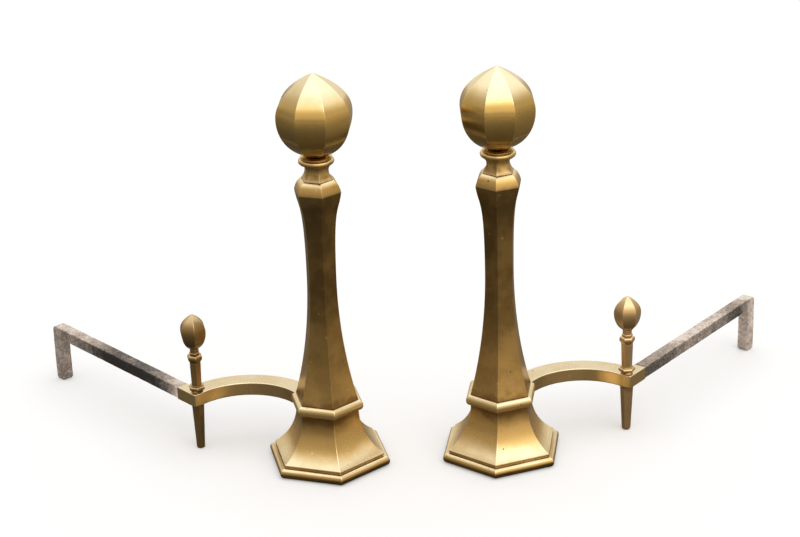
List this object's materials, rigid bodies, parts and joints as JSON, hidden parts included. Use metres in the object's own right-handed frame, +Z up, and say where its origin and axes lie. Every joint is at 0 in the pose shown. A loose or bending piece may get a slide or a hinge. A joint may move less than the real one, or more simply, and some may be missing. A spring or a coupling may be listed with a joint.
{
  "type": "andiron pair",
  "caption": "Matched brass column andirons with faceted ball tops, curved arms carrying finial log stops, and square iron billet bars bent down to rear legs.",
  "frame": {"origin": "on the floor, midway between the two andirons and midway between the front of their feet and the back of their rear legs", "axes": "+X across the hearth to the right seen from the room, +Y back into the fire, +Z up"},
  "size_m": [0.9466, 0.3602, 0.5],
  "materials": {
    "brass": "aged satin cast brass",
    "iron": "scaled, ash-stained wrought iron",
    "steel": "dull mild steel"
  },
  "bodies": {
    "root": {"left_base_casting": "brass", "left_ring_moulding": "brass", "left_column_shaft": "brass", "left_neck": "brass", "left_collar": "brass", "left_ball_lower": "brass", "left_ball_upper": "brass", "left_arm": "brass", "left_stop_leg": "brass", "left_stop_ring": "brass", "left_stop_post": "brass", "left_stop_collar": "brass", "left_stop_finial": "brass", "left_billet_bar": "iron", "left_tie_rod": "steel", "left_tie_washer": "steel", "left_tie_nut": "steel", "left_stop_stud": "steel", "right_base_casting": "brass", "right_ring_moulding": "brass", "right_column_shaft": "brass", "right_neck": "brass", "right_collar": "brass", "right_ball_lower": "brass", "right_ball_upper": "brass", "right_arm": "brass", "right_stop_leg": "brass", "right_stop_ring": "brass", "right_stop_post": "brass", "right_stop_collar": "brass", "right_stop_finial": "brass", "right_billet_bar": "iron", "right_tie_rod": "steel", "right_tie_washer": "steel", "right_tie_nut": "steel", "right_stop_stud": "steel"}
  },
  "joints": []
}
